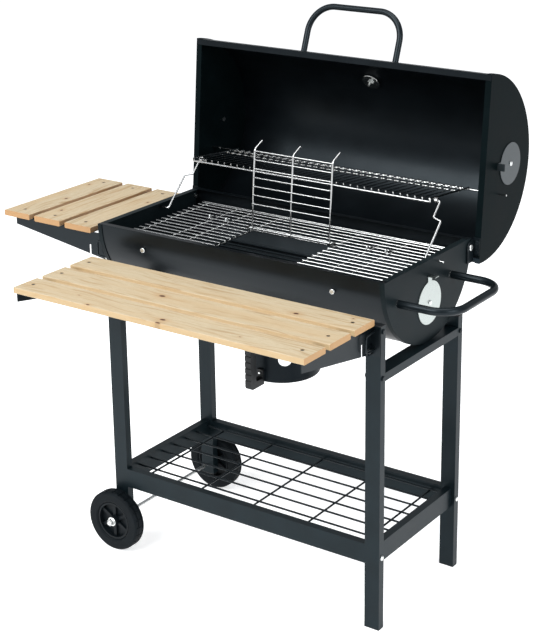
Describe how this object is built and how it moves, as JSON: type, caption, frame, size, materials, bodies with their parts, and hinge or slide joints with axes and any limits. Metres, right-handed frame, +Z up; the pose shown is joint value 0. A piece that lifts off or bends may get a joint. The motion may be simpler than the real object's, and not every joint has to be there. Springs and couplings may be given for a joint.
{
  "type": "barrel charcoal grill",
  "caption": "Barrel charcoal grill on a wheeled stand: hinged lid with warming rack, hatch grate, folding wooden shelves, ash pot",
  "frame": {"origin": "centre of the bounding box's footprint, on the floor", "axes": "+X along the barrel towards the push handle, -X to the wheels and side shelf, -Y towards the cook and the front shelf, +Z up"},
  "size_m": [1.349, 0.9812, 1.3566],
  "materials": {
    "black_paint": "satin black stove paint",
    "cap_paint": "dark grey satin paint",
    "zinc": "bright zinc plating",
    "chrome_wire": "bright chrome plating",
    "pine": "sanded untreated pine",
    "screw_zinc": "zinc-plated screw",
    "tyre_rubber": "matte dark rubber",
    "hub_plastic": "moulded dark plastic",
    "plug_plastic": "moulded black plastic",
    "gauge_steel": "turned bright steel",
    "gauge_dial": "white printed dial",
    "gauge_glass": "clear glass",
    "gauge_needle": "black needle"
  },
  "bodies": {
    "frame": {"leg_front_left": "black_paint", "leg_back_left": "black_paint", "leg_front_right": "black_paint", "leg_back_right": "black_paint", "leg_plugs": "plug_plastic", "braces": "black_paint", "rail_front": "black_paint", "rail_back": "black_paint", "side_rails": "black_paint", "lower_grid": "black_paint", "frame_bolts": "black_paint", "rail_bolts": "zinc", "axle": "zinc", "axle_hardware": "zinc", "bowl_shell": "black_paint", "bowl_cap_left": "cap_paint", "bowl_cap_right": "cap_paint", "bowl_fixings": "zinc", "grate_hooks": "black_paint", "charcoal_grate": "black_paint", "push_handle": "black_paint", "hinge_pins": "zinc", "ash_collar": "black_paint", "shelf_clips": "black_paint", "shelf_pins": "zinc"},
    "lid": {"lid_shell": "black_paint", "lid_cap_left": "cap_paint", "lid_cap_right": "cap_paint", "lid_handle": "black_paint", "hinge_plates": "black_paint", "hinge_screws": "black_paint", "lid_fixings": "zinc", "thermometer_case": "gauge_steel", "thermometer_dial": "gauge_dial", "thermometer_glass": "gauge_glass", "thermometer_stem": "zinc"},
    "thermometer_needle": {"thermometer_needle": "gauge_needle"},
    "bowl_vent_left": {"bowl_vent_left": "zinc"},
    "bowl_vent_right": {"bowl_vent_right": "zinc"},
    "lid_vent_left": {"lid_vent_left": "cap_paint"},
    "lid_vent_right": {"lid_vent_right": "cap_paint"},
    "warming_rack": {"warming_rack": "chrome_wire"},
    "rack_legs": {"rack_legs": "chrome_wire"},
    "cooking_grate": {"cooking_grate": "chrome_wire", "grate_fittings": "chrome_wire"},
    "grate_flap": {"grate_flap": "chrome_wire"},
    "wheel_front": {"tyre_front": "tyre_rubber", "hub_front": "hub_plastic"},
    "wheel_back": {"tyre_back": "tyre_rubber", "hub_back": "hub_plastic"},
    "front_shelf": {"front_slat_1": "pine", "front_slat_2": "pine", "front_slat_3": "pine", "front_brackets": "black_paint", "front_shelf_screws": "screw_zinc"},
    "side_shelf": {"side_slat_1": "pine", "side_slat_2": "pine", "side_slat_3": "pine", "side_brackets": "black_paint", "side_shelf_screws": "screw_zinc"},
    "ash_pot": {"ash_pot": "black_paint", "ash_pot_handle": "plug_plastic", "ash_pot_fixings": "zinc"}
  },
  "joints": [
    {"name": "lid_hinge", "type": "hinge", "parent": "frame", "child": "lid", "pos_m": [0.1045, 0.22341, 0.829], "axis": [1, 0, 0], "range_deg": [0, 95]},
    {"name": "rack_hinge", "type": "hinge", "parent": "lid", "child": "warming_rack", "pos_m": [0.1045, 0.33341, 0.939], "axis": [1, 0, 0], "range_deg": [-95, 0]},
    {"name": "rack_leg_hinge", "type": "hinge", "parent": "frame", "child": "rack_legs", "pos_m": [0.1045, 0.06941, 0.837], "axis": [1, 0, 0], "range_deg": [0, 95]},
    {"name": "grate_lift", "type": "slide", "parent": "frame", "child": "cooking_grate", "axis": [0, 0, 1], "range_m": [0, 0.06]},
    {"name": "flap_hinge", "type": "hinge", "parent": "cooking_grate", "child": "grate_flap", "pos_m": [0.1045, 0.06941, 0.828], "axis": [1, 0, 0], "range_deg": [0, 95]},
    {"name": "thermometer_needle_turn", "type": "hinge", "parent": "lid", "child": "thermometer_needle", "pos_m": [0.1105, 0.44354, 1.15576], "axis": [0, 0.7986, 0.6018], "range_deg": [0, 270], "stiffness_Nm_per_rad": 0.002},
    {"name": "bowl_vent_left_turn", "type": "hinge", "parent": "frame", "child": "bowl_vent_left", "pos_m": [-0.3165, 0.03341, 0.745], "axis": [1, 0, 0], "range_deg": [-45, 45]},
    {"name": "bowl_vent_right_turn", "type": "hinge", "parent": "frame", "child": "bowl_vent_right", "pos_m": [0.5255, 0.03341, 0.745], "axis": [1, 0, 0], "range_deg": [-45, 45]},
    {"name": "lid_vent_left_turn", "type": "hinge", "parent": "lid", "child": "lid_vent_left", "pos_m": [-0.3375, 0.38641, 1.00547], "axis": [1, 0, 0], "range_deg": [-45, 45]},
    {"name": "lid_vent_right_turn", "type": "hinge", "parent": "lid", "child": "lid_vent_right", "pos_m": [0.5465, 0.38641, 1.00547], "axis": [1, 0, 0], "range_deg": [-45, 45]},
    {"name": "wheel_front_spin", "type": "hinge", "parent": "frame", "child": "wheel_front", "pos_m": [-0.2405, -0.23259, 0.08], "axis": [0, 1, 0], "continuous": true},
    {"name": "wheel_back_spin", "type": "hinge", "parent": "frame", "child": "wheel_back", "pos_m": [-0.2405, 0.19141, 0.08], "axis": [0, 1, 0], "continuous": true},
    {"name": "front_shelf_fold", "type": "hinge", "parent": "frame", "child": "front_shelf", "pos_m": [0.1045, -0.22259, 0.706], "axis": [1, 0, 0], "range_deg": [0, 90]},
    {"name": "side_shelf_fold", "type": "hinge", "parent": "frame", "child": "side_shelf", "pos_m": [-0.3285, 0.03341, 0.746], "axis": [0, -1, 0], "range_deg": [0, 90]},
    {"name": "ash_pot_drop", "type": "slide", "parent": "frame", "child": "ash_pot", "axis": [0, 0, 1], "range_m": [-0.2, 0]}
  ],
  "couplings": [
    {"joint": "rack_hinge", "follows": "lid_hinge", "ratio": -1},
    {"joint": "rack_leg_hinge", "follows": "lid_hinge", "ratio": 1},
    {"joint": "flap_hinge", "follows": "lid_hinge", "ratio": 1}
  ]
}
